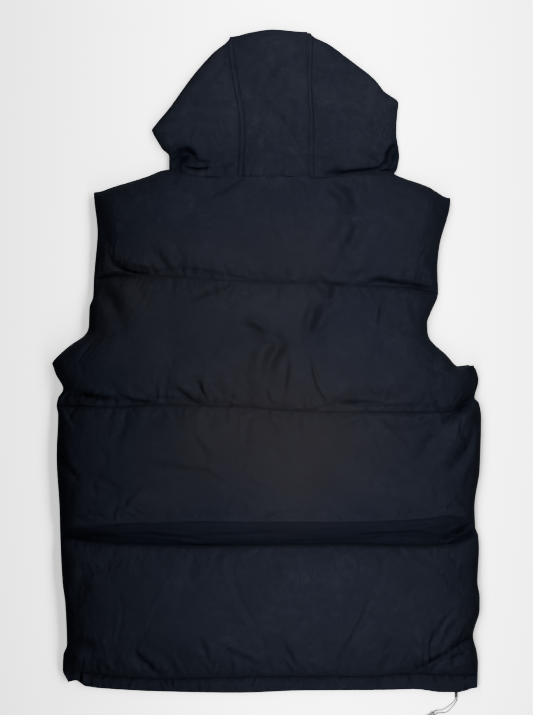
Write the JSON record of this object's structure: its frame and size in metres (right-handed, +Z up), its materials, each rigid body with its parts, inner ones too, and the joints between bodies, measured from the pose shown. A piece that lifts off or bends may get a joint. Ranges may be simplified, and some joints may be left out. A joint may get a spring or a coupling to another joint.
{
  "type": "hooded puffer vest",
  "caption": "Sleeveless quilted jacket with a hood, zipped and laid flat on its front, with a corded hem and a cord lock.",
  "frame": {"origin": "middle of the vest's outline, without the free cord, on the surface that the vest lies on", "axes": "+Y from the hem to the hood, +Z up through the back of the vest, +X to the right seen from above"},
  "size_m": [0.5876, 0.9593, 0.0494],
  "materials": {
    "shell": "matte plain-weave nylon with a faint sheen",
    "tape": "matte woven polyester tape",
    "teeth": "moulded, satin",
    "slider": "die-cast, dark satin paint",
    "elastic": "braided elastic cord",
    "lock": "moulded, fine satin"
  },
  "bodies": {
    "vest": {"back_panel": "shell", "front_left": "shell", "front_right": "shell", "hem_back": "shell", "hem_front_left": "shell", "hem_front_right": "shell", "hood_centre": "shell", "hood_left": "shell", "hood_right": "shell", "zip_tape_left": "tape", "zip_tape_right": "tape", "zip_teeth": "teeth", "zip_box": "teeth", "zip_slider": "slider", "cord_sleeve": "tape", "drawcord": "elastic", "cord_lock": "lock"},
    "pull": {"zip_pull": "slider"}
  },
  "joints": [
    {"name": "pull_swing", "type": "hinge", "parent": "vest", "child": "pull", "pos_m": [0.006, 0.219, 0.0022], "axis": [1, 0, 0], "range_deg": [0, 175]}
  ]
}
